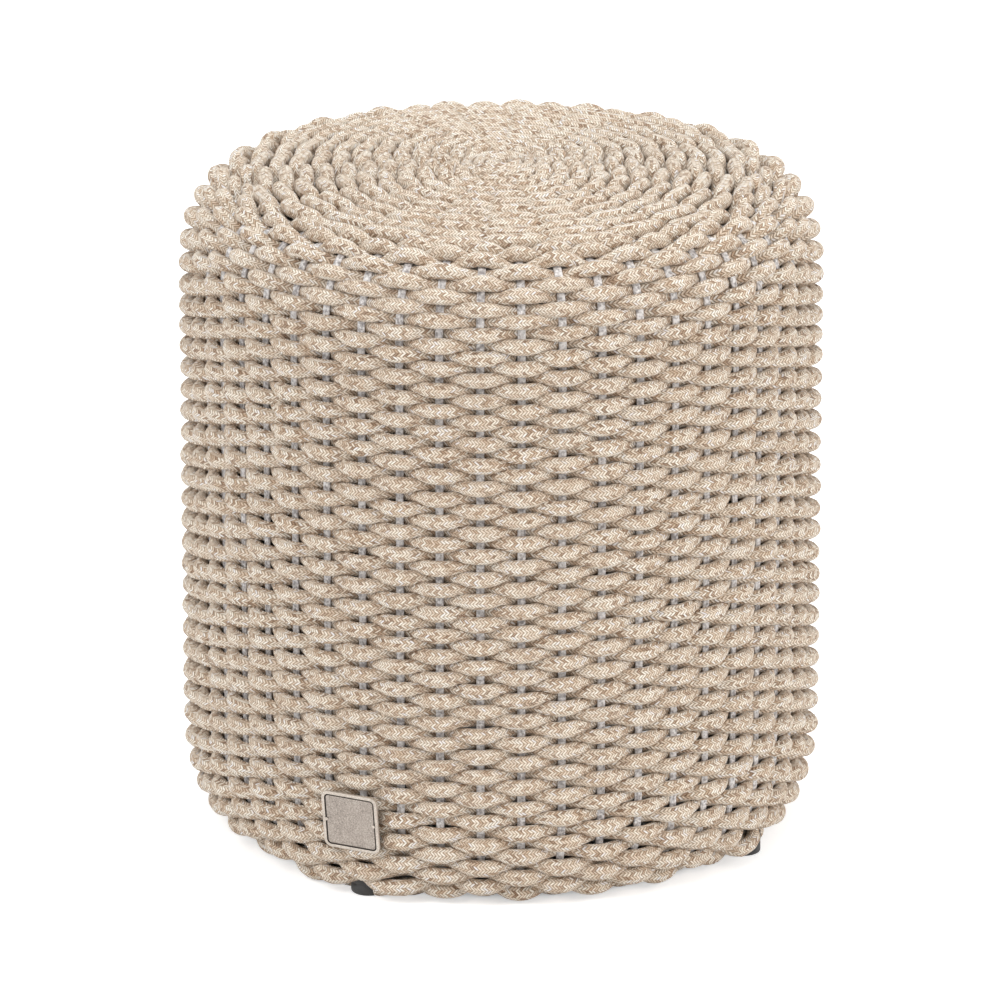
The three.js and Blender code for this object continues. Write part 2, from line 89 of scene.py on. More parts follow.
CURVE_POINTS = 240
TUCK_POINTS = 60
LEG_STATIONS = {"crown": 14, "shoulder": 14, "side": 40, "foot": 16}
LEG_BEND = ((1.2, 0.0), (0.3, 0.3), (0.0, 1.2))  # last points of a leg, outwards and up
LOOP_STATIONS = 9
LOOP_STEP = 3.0
FOOT_SAMPLES = 400  # of the outline, to find where the plate touches it
CORNER_POINTS = 8  # steps round each corner of the plate
GLIDE_SEGMENTS = 48
RIVET_SEGMENTS = 20

body_root = "root"


def bezier(points, count=CURVE_POINTS):
    t = np.linspace(0, 1, count)[:, None]
    points = np.array(points, float)
    degree = len(points) - 1
    return sum(
        math.comb(degree, i) * (1 - t) ** (degree - i) * t**i * points[i]
        for i in range(degree + 1)
    )


def corner_curve(start, corner, end):
    start, corner, end = (np.array(p, float) for p in (start, corner, end))
    leaving = start + (corner - start) * ROUNDING
    arriving = end + (corner - end) * ROUNDING
    return bezier([start, leaving, arriving, end])


# Half outline of the rope's crests, from the crown to the turned-under edge
crown_edge = (WEAVE_RADIUS - SHOULDER_WIDTH, OVERALL_HEIGHT - CROWN_RISE)
side_top = (WEAVE_RADIUS, crown_edge[1] - SHOULDER_DROP)
side_bottom = (WEAVE_RADIUS, FLOOR_GAP + FOOT_RISE)
foot_edge = (WEAVE_RADIUS - FOOT_WIDTH, FLOOR_GAP)
tucked_edge = (foot_edge[0] - TURN_UNDER, FLOOR_GAP)
crown_slope = 2 * CROWN_RISE / crown_edge[0]
shoulder_corner = (WEAVE_RADIUS, crown_edge[1] - crown_slope * SHOULDER_WIDTH)
sections = [
    bezier([(0, OVERALL_HEIGHT), (crown_edge[0] / 2, OVERALL_HEIGHT), crown_edge]),
    corner_curve(crown_edge, shoulder_corner, side_top),
    bezier([side_top, side_bottom]),
    corner_curve(side_bottom, (WEAVE_RADIUS, FLOOR_GAP), foot_edge),
    bezier([foot_edge, tucked_edge, (tucked_edge[0] - TURN_UNDER, FLOOR_GAP)], TUCK_POINTS),
]
outline_line = np.concatenate([sections[0]] + [s[1:] for s in sections[1:]])
outline_steps = np.linalg.norm(np.diff(outline_line, axis=0), axis=1)
outline_run = np.concatenate([[0], np.cumsum(outline_steps)])
section_ends = np.cumsum([len(sections[0]) - 1] + [len(s) - 1 for s in sections[1:]])
CROWN_END, SHOULDER_END, SIDE_END, FOOT_END = outline_run[section_ends[:4]]
WEAVE_END = FOOT_END + TURN_UNDER
tangents = np.gradient(outline_line, outline_run, axis=0)
tangents /= np.linalg.norm(tangents, axis=1)[:, None]


def outline_at(distance, depth=0.0):
    """Radius and height of a place sunk below the crests, and the tangent there."""
    distance = np.abs(np.asarray(distance, float))
    place = [np.interp(distance, outline_run, outline_line[:, i]) for i in (0, 1)]
    along = [np.interp(distance, outline_run, tangents[:, i]) for i in (0, 1)]
    return place[0] + along[1] * depth, place[1] - along[0] * depth, along[0], along[1]


# The same line sunk to the straps: the rows are evenly spaced along it.
strap_line_r, strap_line_z = outline_at(outline_run, STRAP_DEPTH)[:2]
strap_steps = np.hypot(np.diff(strap_line_r), np.diff(strap_line_z))
strap_run = np.concatenate([[0], np.cumsum(strap_steps)])


def to_strap_run(distance):
    return np.interp(distance, outline_run, strap_run)


def from_strap_run(distance):
    return np.interp(distance, strap_run, outline_run)


def linked(name, data):
    """A new object of the scene."""
    made = bpy.data.objects.new(name, data)
    bpy.context.scene.collection.objects.link(made)
    return made


def mesh_object(name, vertices, faces, material, smooth=True):
    mesh = bpy.data.meshes.new(name)
    mesh.from_pydata((np.asarray(vertices) * MM).tolist(), [], faces)
    mesh.materials.append(material)
    if smooth:
        mesh.shade_smooth()
    mesh.update()
    return linked(name, mesh)


def grid_object(name, patches, material):
    """A mesh of swept patches, with a fan over each open end.

    A patch is its points (stations x points round it x 3), whether its last station joins the
    first, the place along it of each station and of the end, and a number of its own.
    """
    points, corners, coords, base = [], [], [], 0
    for vertices, joined, along, own in patches:
        n, m = vertices.shape[:2]
        rows = n if joined else n - 1
        i, j = np.meshgrid(np.arange(rows), np.arange(m), indexing="ij")
        i2, j2 = (i + 1) % n, (j + 1) % m
        quad = np.stack([i * m + j, i2 * m + j, i2 * m + j2, i * m + j2], -1).reshape(-1, 4)
        points.append(vertices.reshape(-1, 3))
        corners.append(quad + base)
        u = np.stack([along[i], along[i + 1], along[i + 1], along[i]], -1)
        v = np.stack([j / m, j / m, (j + 1) / m, (j + 1) / m], -1)
        coords.append(np.stack([u, v, np.full_like(u, own)], -1).reshape(-1, 3))
        base += n * m
        if joined:
            continue
        # Known fault: base has moved on by one at the far end, so that end's fan takes the
        # near end's centre for one of its points and has two faces that run back to it.
        for ring, turned in ((0, False), (n - 1, True)):
            loop = np.arange(m) + ring * m + base - n * m
            points.append(vertices[ring].mean(0)[None])
            following = np.roll(loop, -1)
            pair = (loop, following) if turned else (following, loop)
            corners.append(np.stack([*pair, np.full(m, base), np.full(m, base)], -1))
            coords.append(np.tile([along[ring], 0.5, own], (m * 4, 1)))
            base += 1
    points = np.concatenate(points) * MM
    corners = np.concatenate(corners)
    triangle = corners[:, 2] == corners[:, 3]
    counts = np.where(triangle, 3, 4)
    keep = np.ones(corners.shape, bool)
    keep[triangle, 3] = False
    loops = corners[keep]
    values = np.concatenate(coords).reshape(-1, 4, 3)[keep]
    mesh = bpy.data.meshes.new(name)
    mesh.vertices.add(len(points))
    mesh.vertices.foreach_set("co", points.astype(np.float32).ravel())
    mesh.loops.add(len(loops))
    mesh.loops.foreach_set("vertex_index", loops.astype(np.int32))
    mesh.polygons.add(len(counts))
    starts = np.concatenate([[0], np.cumsum(counts)[:-1]])
    mesh.polygons.foreach_set("loop_start", starts.astype(np.int32))
    mesh.update(calc_edges=True)
    mesh.validate()
    attribute = mesh.attributes.new("rope", "FLOAT_VECTOR", "CORNER")
    attribute.data.foreach_set("vector", values.astype(np.float32).ravel())
    mesh.materials.append(material)
    mesh.shade_smooth()
    return linked(name, mesh)


# Materials
class Nodes:
    """A short way to write the nodes of a material or of the world."""

    def __init__(self, owner, shader="Principled BSDF"):
        owner.use_nodes = True
        self.owner = owner
        self.tree = owner.node_tree
        self.shader = self.tree.nodes[shader]

    def put(self, target, value):
        if isinstance(value, bpy.types.NodeSocket):
            self.tree.links.new(value, target)
        else:
            target.default_value = value

    def node(self, kind, inputs=(), **settings):
        made = self.tree.nodes.new("ShaderNode" + kind)
        for key, value in settings.items():
            setattr(made, key, value)
        for key, value in dict(inputs).items():
            self.put(made.inputs[key], value)
        return made

    def math(self, operation, first, second=0.0, third=0.0, clamp=False):
        made = self.node("Math", operation=operation, use_clamp=clamp)
        for socket, value in zip(made.inputs, (first, second, third)):
            self.put(socket, value)
        return made.outputs[0]

    def mix(self, factor, first, second, blend="MIX"):
        made = self.node("Mix", data_type="RGBA", blend_type=blend)
        self.put(made.inputs[0], factor)
        self.put(made.inputs[6], first)
        self.put(made.inputs[7], second)
        return made.outputs[2]

    def shared(self, first, second, share):
        """Two values added up, of which the first has this share."""
        return self.math("MULTIPLY_ADD", first, share, self.math("MULTIPLY", second, 1 - share))

    def centred(self, value, middle=0.5):
        return self.math("SUBTRACT", value, middle)

    def ramp(self, factor, stops):
        made = self.node("ValToRGB")
        elements = made.color_ramp.elements
        while len(elements) < len(stops):
            elements.new(0.5)
        for element, (place, shade) in zip(elements, stops):
            element.position = place
            element.color = shade
        self.put(made.inputs[0], factor)
        return made.outputs[0]

    def noise(self, vector, scale, detail=2.0, roughness=0.5):
        inputs = {"Vector": vector, "Scale": scale, "Detail": detail, "Roughness": roughness}
        return self.node("TexNoise", inputs).outputs["Fac"]

    def vector(self, x, y, z):
        return self.node("CombineXYZ", {"X": x, "Y": y, "Z": z}).outputs[0]

    def place(self):
        """The point on the object, in metres."""
        return self.node("TexCoord").outputs["Object"]

    def bump(self, height, distance, strength):
        inputs = {"Height": height, "Distance": distance, "Strength": strength}
        return self.node("Bump", inputs).outputs[0]

    def looked_at(self):
        """1 where the camera looks, also by way of a mirror or glass, and 0 for other light."""
        path = self.node("LightPath").outputs
        indirect = self.math("MAXIMUM", path["Is Glossy Ray"], path["Is Transmission Ray"])
        return self.math("MAXIMUM", path["Is Camera Ray"], indirect)

    def set(self, **inputs):
        for key, value in inputs.items():
            self.put(self.shader.inputs[key.replace("_", " ")], value)
        return self.owner


def material_nodes(name):
    return Nodes(bpy.data.materials.new(name))


def colour(red, green, blue):
    """A colour given as it looks on a screen, 0 to 255."""
    linear = [
        c / 12.92 if c <= 0.04045 else ((c + 0.055) / 1.055) ** 2.4
        for c in (red / 255, green / 255, blue / 255)
    ]
    return (*linear, 1.0)


BRAID_PITCH = 2.3  # of the strokes along the rope
BRAID_BANDS = 14  # round the rope
BRAID_LEAN = 1.1  # of a stroke across its band, in strokes
BRAID_WANDER = 0.9  # of the strokes along the rope, in strokes
BAND_ROUNDNESS = 0.45  # how much lower a yarn lies at the edges of its band
FIBRES = (4.0, 1.2)  # of a yarn, for each stroke and each band
OWN_FIBRES = 37.0  # sets the fibres of two turns of rope apart
FIBRE_IN_TONE = 0.35
# Share of the fibre noise in the painted shade of the grooves between strokes
FIBRE_IN_GROOVE_SHADE = 0.7
FIBRE_IN_HEIGHT = 0.35
YARN_TONES = [
    (0.0, colour(139, 109, 84)),
    (0.12, colour(194, 167, 141)),
    (0.34, colour(222, 203, 183)),
    (0.62, colour(238, 225, 209)),
    (0.92, colour(248, 241, 230)),
    (1.0, colour(238, 235, 238)),
]
# Painted shade: factors that darken the yarns' colour in the grooves between strokes, where the
# braid lies low
GROOVE_SHADE_TONES = [(0.26, (0.50, 0.435, 0.36, 1)), (0.72, (1, 1, 1, 1))]
DRIFT_TONE = colour(214, 190, 165)
DRIFT_MIDDLE = 0.35
DRIFT_AMOUNT = 0.35


def rope_material():
    n = material_nodes("braided_rope")
    along, around, own = n.node(
        "SeparateXYZ", {"Vector": n.node("Attribute", attribute_name="rope").outputs["Vector"]}
    ).outputs
    bands = n.math("MULTIPLY", around, BRAID_BANDS)
    band = n.math("FLOOR", bands)
    zigzag = n.math("PINGPONG", bands, 1.0)
    wander = n.noise(n.place(), scale=60.0)
    stroke_run = n.math("MULTIPLY_ADD", zigzag, BRAID_LEAN, along)
    stroke_run = n.math("MULTIPLY_ADD", wander, BRAID_WANDER, stroke_run)
    stroke = n.math("FLOOR", stroke_run)
    share = n.math("FRACT", stroke_run)
    hump = n.math("SINE", n.math("MULTIPLY", share, math.pi))
    across = n.math("SINE", n.math("MULTIPLY", n.math("FRACT", bands), math.pi))
    edge = n.math("MULTIPLY_ADD", across, BAND_ROUNDNESS, 1 - BAND_ROUNDNESS)
    yarn = n.math("MULTIPLY", hump, edge)
    cell = n.vector(stroke, band, own)
    chance = n.node("TexWhiteNoise", {"Vector": cell}, noise_dimensions="3D").outputs["Value"]
    strands = n.vector(
        n.math("MULTIPLY", stroke_run, FIBRES[0]),
        n.math("MULTIPLY", bands, FIBRES[1]),
        n.math("MULTIPLY", own, OWN_FIBRES),
    )
    fibre = n.noise(strands, scale=1.0, detail=3.0, roughness=0.6)
    tone = n.math("MULTIPLY_ADD", n.centred(fibre), FIBRE_IN_TONE, chance)
    yarn_colour = n.ramp(tone, YARN_TONES)
    drift_noise = n.noise(n.place(), scale=14.0, detail=3.0)
    drift_share = n.math("MULTIPLY", n.centred(drift_noise, DRIFT_MIDDLE), DRIFT_AMOUNT)
    yarn_colour = n.mix(drift_share, yarn_colour, DRIFT_TONE)
    # Painted shade: the colour is darkened where a yarn lies low, between strokes and at the
    # edges of its band, with fibre noise mixed in
    crease_shade_height = n.math("MULTIPLY_ADD", n.centred(fibre), FIBRE_IN_GROOVE_SHADE, yarn)
    groove = n.ramp(crease_shade_height, GROOVE_SHADE_TONES)
    rise = n.math("MULTIPLY_ADD", fibre, FIBRE_IN_HEIGHT, yarn)
    return n.set(
        Base_Color=n.mix(1.0, yarn_colour, groove, "MULTIPLY"),
        Roughness=n.math("MULTIPLY_ADD", fibre, 0.15, 0.78),
        Normal=n.bump(rise, distance=0.0006, strength=0.8),
        Sheen_Weight=0.12,
        Sheen_Roughness=0.5,
    )


def strap_material():
    n = material_nodes("strap_webbing")
    place = n.place()
    grain = n.noise(place, scale=480.0)
    cloud = n.noise(place, scale=45.0, detail=3.0)
    return n.set(
        Base_Color=n.ramp(
            n.shared(grain, cloud, 0.7),
            [(0.38, colour(158, 153, 153)), (0.6, colour(252, 250, 250))],
        ),
        Roughness=0.62,
        Normal=n.bump(grain, distance=0.0003, strength=0.5),
    )


def frame_material():
    n = material_nodes("powder_coated_tube")
    place = n.place()
    grain = n.noise(place, scale=1600.0)
    cloud = n.noise(place, scale=20.0)
    return n.set(
        Base_Color=n.ramp(cloud, [(0.3, colour(98, 95, 91)), (0.7, colour(114, 111, 107))]),
        Metallic=0.35,
        Roughness=n.math("MULTIPLY_ADD", cloud, 0.15, 0.42),
        Normal=n.bump(grain, distance=0.00008, strength=0.6),
    )


def glide_material():
    n = material_nodes("glide_plastic")
    place = n.place()
    grain = n.noise(place, scale=1100.0, detail=3.0)
    scuff = n.noise(place, scale=90.0, detail=4.0, roughness=0.7)
    return n.set(
        Base_Color=n.ramp(scuff, [(0.35, colour(30, 30, 31)), (0.8, colour(62, 60, 58))]),
        Roughness=n.math("MULTIPLY_ADD", scuff, 0.25, 0.38),
        Normal=n.bump(grain, distance=0.00008, strength=0.5),
    )


def steel_material():
    n = material_nodes("zinc_steel")
    cloud = n.noise(n.place(), scale=300.0, detail=3.0)
    return n.set(
        Base_Color=n.ramp(cloud, [(0.3, colour(150, 149, 147)), (0.7, colour(186, 185, 182))]),
        Metallic=0.95,
        Roughness=n.math("MULTIPLY_ADD", cloud, 0.2, 0.28),
    )


def badge_material(name, dark, light):
    n = material_nodes(name)
    place = n.place()
    grain = n.noise(place, scale=1100.0, detail=3.0, roughness=0.7)
    cloud = n.noise(place, scale=60.0, detail=3.0)
    return n.set(
        Base_Color=n.ramp(n.shared(grain, cloud, 0.75), [(0.34, dark), (0.66, light)]),
        Metallic=0.55,
        Roughness=n.math("MULTIPLY_ADD", cloud, 0.15, 0.4),
        Normal=n.bump(grain, distance=0.0001, strength=0.5),
    )


rope_look = rope_material()
strap_look = strap_material()
frame_look = frame_material()
glide_look = glide_material()
steel_look = steel_material()
badge_look = badge_material("pewter_plate", colour(116, 106, 99), colour(188, 177, 167))
rim_look = badge_material("pewter_rim", colour(161, 150, 139), colour(214, 204, 193))
groove_look = badge_material("pewter_groove", colour(44, 38, 34), colour(76, 67, 60))

# Ropes
STATIONS = 10  # between two straps
SECTION = 14  # points round a rope
ROPE_HALF = 5.2  # half the thickness of a rope
ROPE_SLACK = 1.12  # a turn of rope against its circle
SIDE_PITCH = 7.41  # wanted from row to row down the side
TOP_PITCH = 6.8  # wanted from row to row on the top
RIM_MARGIN = 0.4  # from the crown's edge to where the rows begin, on both sides
WEAVE_CHANGE = 164.0  # farther out than this the top's rows meet the short straps too
COIL_RADIUS = 27.0
SIDE_BANDS = 12  # pieces that the side's rows are shared out to
TOP_BANDS = 4

# Where a rope passes a strap, and where it lies behind one
DIVE = 26.0  # length in which a rope goes from one face of the weave to the other
OVER = 6.1  # from the strap to the middle of a rope that passes it
RIM_OVER = 4.9  # the same at the rim of the top
FOOT_LESS = 2.4  # how much less it is under the foot
TOP_DIP = 4.4  # the same on the top, outside the coil
TOP_DIP_LEAST = 0.4  # the share of that beside the coil
TOP_DIP_GROWS = (28, 88)  # distances from the middle
RIM_GROWS = (-4, 24)  # from the first row of the side, where RIM_OVER turns to OVER
FOOT_TURNS = (530, 590)  # along the strap line, where the rows come level under the foot
FOOT_SINKS = (540, 590)  # along the strap line, where they flatten
SIDE_HALF_OVER = 5.2  # half height of a rope that passes a strap
FOOT_WIDER = 0.6
RIM_HALF_OVER = 4.8
TOP_HALF_OVER = 5.3
SIDE_HALF_UNDER = 6.6  # half height of a rope squeezed behind a strap
RIM_HALF_UNDER = 5.0
TOP_HALF_UNDER = 4.0
CROSSING_EXTRA = 0.3  # half height of a rope between two straps, beyond half the pitch
SLOPE_MOST = 0.8  # steepest dive that still thickens a rope's section
BEHIND_STRAP = 12.4  # depth at which a rope is out of a strap's way
FLAT_LEAST = 2.5  # least half thickness of a rope pressed flat behind a strap
BULGE_POWERS = (0.62, 1.2)  # how fast a rope swells over and behind a strap
LIE_POWERS = (0.75, 1.5)  # how long it stays over and behind a strap
TOP_BULGE_POWER = 1.3  # the same for the inner rows of the top
TOP_DROP = 2.5  # how far they drop behind a strap, in parts of their dip
TOP_DROP_POWER = 2.2  # how steeply
LOWEST = 0.3  # height that no rope goes below

# Spread of the random draws
UNEVEN = 0.03  # of how far out a rope lies, and of its thickness, as a share
UNEVEN_SIDEWAYS = 0.45
TOP_JITTER = 1.3  # factor on all three for the inner rows of the top

# Beside a glide the lowest outer row is pressed out of its place.
PRESSED_ROW = 3  # from the turned-under edge
PRESS_ASIDE = (18.0, -24.0, 0.0, 0.0)  # from each glide's middle along the row
PRESS_FULL = 3.0
PRESS_END = 26.0
PRESSED_R = 196.0
PRESSED_Z = 13.0

# A rope that meets a glide passes above it.
OVER_GLIDE = 4.4  # from the glide's top to the middle of the rope
MEETS_GLIDE = (GLIDE_RADIUS - 6.0, GLIDE_RADIUS - 2.0)
LOW_ROPE = (18.0, 26.0)

# Places where two rows stand apart: along the strap line, degrees from the front, half width
# in degrees, and how far each row gives way
PARTINGS = [
    (545.5, -19.0, 5.5, 1.6),
    (154.5, -15.0, 4.5, 1.2),
    (167.5, -3.0, 5.5, 1.2),
    (190.0, -10.0, 6.5, 1.6),
    (162.5, 15.5, 7.0, 1.5),
    (177.0, 25.0, 5.5, 1.2),
    (176.0, 17.0, 4.0, 1.0),
    (191.0, -35.0, 5.0, 1.2),
]
PARTING_SPLIT = 2.5  # how near its middle a parting changes sides
PARTING_REACH = 11.0  # how far from its middle it fades

# The side's rows stray from level: places along the strap line, and how far in millimetres
STRAY_STARTS = (200, 300)
STRAY_TILT = 1.75
STRAY_TILT_LOWER = 2.9
STRAY_TILT_GROWS = (320, 430)
STRAY_LIFT = -1.5
STRAY_LIFT_MIDDLE = 3.0
STRAY_LIFT_GROWS = (230, 316)
STRAY_LIFT_BACK = 1.8
STRAY_LIFT_ENDS = (330, 430)

# The foot sags along the front: angles from the front in radians, and how far in millimetres
SAG_STARTS = (-0.9, -0.6)
SAG_FRONT = 1.3
SAG_FRONT_ENDS = (0.5, 0.8)
SAG_GLIDE = 3.2
SAG_GLIDE_ENDS = (-0.4, -0.2)
SAG_HEIGHTS = (14.0, 60.0)
SAG_OUTWARD = 0.8  # as a share of the sag
SAG_WHERE_PRESSED = 0.6  # share of it that a pressed rope is spared

theta = np.pi + 2 * np.pi * np.arange(SECTION) / SECTION
cos_theta, sin_theta = np.cos(theta), np.sin(theta)

glide_centre_radius = foot_edge[0]
glide_angles = [
    FRONT + math.radians(-GLIDE_TURN + 360 / GLIDE_COUNT * i) for i in range(GLIDE_COUNT)
]


def smooth_step(low, high, value):
    share = np.clip((value - low) / (high - low), 0, 1)
    return share * share * (3 - 2 * share)


def from_angle(angle, middle):
    """The angle measured from another, between half a turn back and half a turn on."""
    return (angle - middle + math.pi) % (2 * math.pi) - math.pi


def over_glides(r, z, angle, depth):
    """The depth of a rope, less where it has to pass above a glide."""
    nearest = np.min(
        [
            np.hypot(
                r * np.cos(angle) - glide_centre_radius * math.cos(glide_angle),
                r * np.sin(angle) - glide_centre_radius * math.sin(glide_angle),
            )
            for glide_angle in glide_angles
        ],
        axis=0,
    )
    near = 1 - smooth_step(*MEETS_GLIDE, nearest)
    low = 1 - smooth_step(*LOW_ROPE, z)
    wanted = np.maximum(depth, GLIDE_TOP + OVER_GLIDE - FLOOR_GAP)
    return depth + (wanted - depth) * near * low


def beside_glides(angle):
    """How much a stretch of the lowest outer row is pressed out by a glide, 0 to 1."""
    pressed = np.zeros(len(angle))
    for glide_angle, aside in zip(glide_angles, PRESS_ASIDE):
        arc = np.abs(from_angle(angle, glide_angle) * glide_centre_radius - aside)
        pressed = np.maximum(pressed, 1 - smooth_step(PRESS_FULL, PRESS_END, arc))
    return pressed


def parted(run, angle):
    """How far a row gives way at the places where the weave stands open."""
    turned = np.degrees(from_angle(angle, FRONT))
    shift = np.zeros(len(angle))
    for place, middle, half_width, amount in PARTINGS:
        away = run - place
        share = math.tanh(away / PARTING_SPLIT) * math.exp(-((away / PARTING_REACH) ** 2))
        shift += amount * share * np.exp(-(((turned - middle) / half_width) ** 2))
    return shift


def smooth_between(values, share):
    """Values at the straps, eased from each to the next."""
    ease = 0.5 - 0.5 * np.cos(np.pi * share)
    return values[:, None] * (1 - ease) + np.roll(values, -1)[:, None] * ease


def drift(run, angle):
    """How far a row of the side strays from level, along the strap line."""
    above_foot = 1 - smooth_step(*FOOT_TURNS, run)
    tilt = STRAY_TILT + STRAY_TILT_LOWER * smooth_step(*STRAY_TILT_GROWS, run)
    tilt *= smooth_step(*STRAY_STARTS, run) * above_foot
    lift = STRAY_LIFT - STRAY_LIFT_MIDDLE * smooth_step(*STRAY_LIFT_GROWS, run)
    lift += STRAY_LIFT_BACK * smooth_step(*STRAY_LIFT_ENDS, run)
    return lift * above_foot - tilt * np.sin(2 * (angle - FRONT))


def sag(z, angle):
    """The weave's foot hangs a little lower along the front, most of all at the left glide."""
    turned = from_angle(angle, FRONT)
    start = smooth_step(*SAG_STARTS, turned)
    front = SAG_FRONT * start * (1 - smooth_step(*SAG_FRONT_ENDS, turned))
    glide = SAG_GLIDE * start * (1 - smooth_step(*SAG_GLIDE_ENDS, turned))
    return (front + glide) * (1 - smooth_step(*SAG_HEIGHTS, z))


def swept(r, z, tangent, angle, half_out, half_side):
    """Points of a rope's sections, whose middles lie at r, z and angle.

    The outline's tangent is (along_r, along_z), and its outward normal (-along_z, along_r).
    """
    along_r, along_z = (part[:, None] for part in tangent)
    out = half_out[:, None] * cos_theta[None]
    side = half_side[:, None] * sin_theta[None]
    section_r = r[:, None] - along_z * out + along_r * side
    section_z = np.maximum(z[:, None] + along_r * out + along_z * side, LOWEST)
    turn = angle[:, None]
    return np.stack([section_r * np.cos(turn), section_r * np.sin(turn), section_z], -1)


def woven_row(
    row,
    run,
    pitch,
    straps,
    first_over,
    amplitude,
    half_over,
    half_under,
    jitter=1.0,
    pressable=0.0,
):
    """One turn of rope, over one strap and behind the next."""
    all_straps = straps == STRAP_COUNT
    first_angle = FRONT + 0.5 * STRAP_STEP
    share = np.arange(STATIONS) / STATIONS
    step = 2 * math.pi / straps
    radius = float(outline_at(from_strap_run(run), STRAP_DEPTH)[0])
    spacing = radius * step
    dive_length = min(DIVE, spacing)
    dive = np.clip((share - 0.5) * spacing / dive_length + 0.5, 0, 1)
    signs = np.where((row + np.arange(straps)) % 2 == first_over, 1.0, -1.0)
    swing = signs[:, None] * np.cos(np.pi * dive)[None]
    swing = swing * smooth_between(1 + rng.normal(0, UNEVEN, straps) * jitter, share)
    sideways = smooth_between(rng.normal(0, UNEVEN_SIDEWAYS, straps) * jitter, share)
    fullness = smooth_between(1 + rng.normal(0, UNEVEN, straps) * jitter, share)
    angle = first_angle + step * (np.arange(straps)[:, None] + share[None])
    swing, sideways, fullness, angle = (
        values.reshape(-1) for values in (swing, sideways, fullness, angle)
    )
    if all_straps:
        bulge = np.abs(swing) ** np.where(swing > 0, *BULGE_POWERS)
        lie = np.sign(swing) * np.abs(swing) ** np.where(swing > 0, *LIE_POWERS)
    else:
        # On the top a rope stays up for most of its way and dips steeply behind the strap.
        bulge = np.abs(swing) ** TOP_BULGE_POWER
        lie = 1 - TOP_DROP * np.maximum((1 - swing) / 2, 0) ** TOP_DROP_POWER
    half_most = np.where(swing > 0, half_over, half_under)
    half_crossing = pitch / 2 + CROSSING_EXTRA
    half_side = (half_crossing + (half_most - half_crossing) * bulge) * fullness
    slope = amplitude * math.pi / dive_length
    half_mid = ROPE_HALF * math.hypot(1, min(slope, SLOPE_MOST))
    # Behind a strap the rope is pressed flat, so that the strap stays in sight.
    flat_out = STRAP_DEPTH - OVER + 2 * amplitude - BEHIND_STRAP
    flat_out = min(max(flat_out, FLAT_LEAST), ROPE_HALF)
    half_most_out = np.where((swing < 0) & all_straps, flat_out, ROPE_HALF)
    half_out = (half_mid + (half_most_out - half_mid) * bulge) * fullness
    depth = STRAP_DEPTH - (OVER - amplitude) - amplitude * lie
    stray = drift(run, angle) if all_straps else 0.0
    distance = from_strap_run(run + sideways + stray + parted(run, angle))
    r, z = outline_at(distance, depth)[:2]
    r, z, *tangent = outline_at(distance, over_glides(r, z, angle, depth))
    pressed = beside_glides(angle) * pressable
    r, z = r + (PRESSED_R - r) * pressed, z + (PRESSED_Z - z) * pressed
    sunk = sag(z, angle) * (1 - SAG_WHERE_PRESSED * pressed)
    points = swept(r + SAG_OUTWARD * sunk, z - sunk, tangent, angle, half_out, half_side)
    strokes = round(2 * math.pi * radius * ROPE_SLACK / BRAID_PITCH)
    along = np.arange(len(angle) + 1) / len(angle) * strokes
    return points, True, along, float(rng.random())


def side_rows():
    start = to_strap_run(CROWN_END) + RIM_MARGIN
    length = to_strap_run(WEAVE_END) - start
    rows = round(length / SIDE_PITCH)
    pitch = length / rows
    made = []
    for row in range(rows):
        run = start + (row + 0.5) * pitch
        rim = float(smooth_step(start + RIM_GROWS[0], start + RIM_GROWS[1], run))
        foot = float(smooth_step(*FOOT_SINKS, run))
        made.append(
            woven_row(
                row,
                run,
                pitch,
                STRAP_COUNT,
                first_over=1,
                amplitude=RIM_OVER + (OVER - RIM_OVER) * rim - FOOT_LESS * foot,
                half_over=SIDE_HALF_OVER + FOOT_WIDER * foot,
                half_under=SIDE_HALF_UNDER,
                pressable=float(row == rows - PRESSED_ROW),
            )
        )
    return made


def rim_row(row, run, pitch):
    """A row of the top that meets the short straps too."""
    return woven_row(
        row,
        run,
        pitch,
        STRAP_COUNT,
        first_over=1,
        amplitude=RIM_OVER,
        half_over=RIM_HALF_OVER,
        half_under=RIM_HALF_UNDER,
    )


def inner_row(row, run, pitch):
    """A row of the top that meets the long straps alone."""
    ease = float(smooth_step(*TOP_DIP_GROWS, run))
    return woven_row(
        row,
        run,
        pitch,
        TOP_STRAP_COUNT,
        first_over=0,
        amplitude=TOP_DIP * (TOP_DIP_LEAST + (1 - TOP_DIP_LEAST) * ease),
        half_over=TOP_HALF_OVER,
        half_under=TOP_HALF_UNDER,
        jitter=TOP_JITTER,
    )


def top_rows():
    length = to_strap_run(CROWN_END) - RIM_MARGIN - COIL_RADIUS
    rows = round(length / TOP_PITCH)
    pitch = length / rows
    made = []
    for row in range(rows):
        run = COIL_RADIUS + (row + 0.5) * pitch
        if run > WEAVE_CHANGE:
            made.append(rim_row(row - rows, run, pitch))
        else:
            made.append(inner_row(row, run, pitch))
    return made


COIL_TURNS = 3.1
COIL_STATIONS = 150
COIL_START = 3.2  # radius where it begins
COIL_OVERLAP = 1.5  # of its end and the first row round it
COIL_ANGLE = 0.6  # radians
COIL_DEPTH = 6.2
COIL_WAVE = 0.35
COIL_WAVES = 5.3  # for each radian
COIL_START_DIP, COIL_START_SHARE = 5.0, 0.05
COIL_END_DIP, COIL_END_FROM, COIL_END_SHARE = 6.0, 0.93, 0.07
COIL_HALF_OUT = 5.1
COIL_HALF_SIDE = 4.1
COIL_OWN = 0.37  # sets its yarns apart from those of the rows


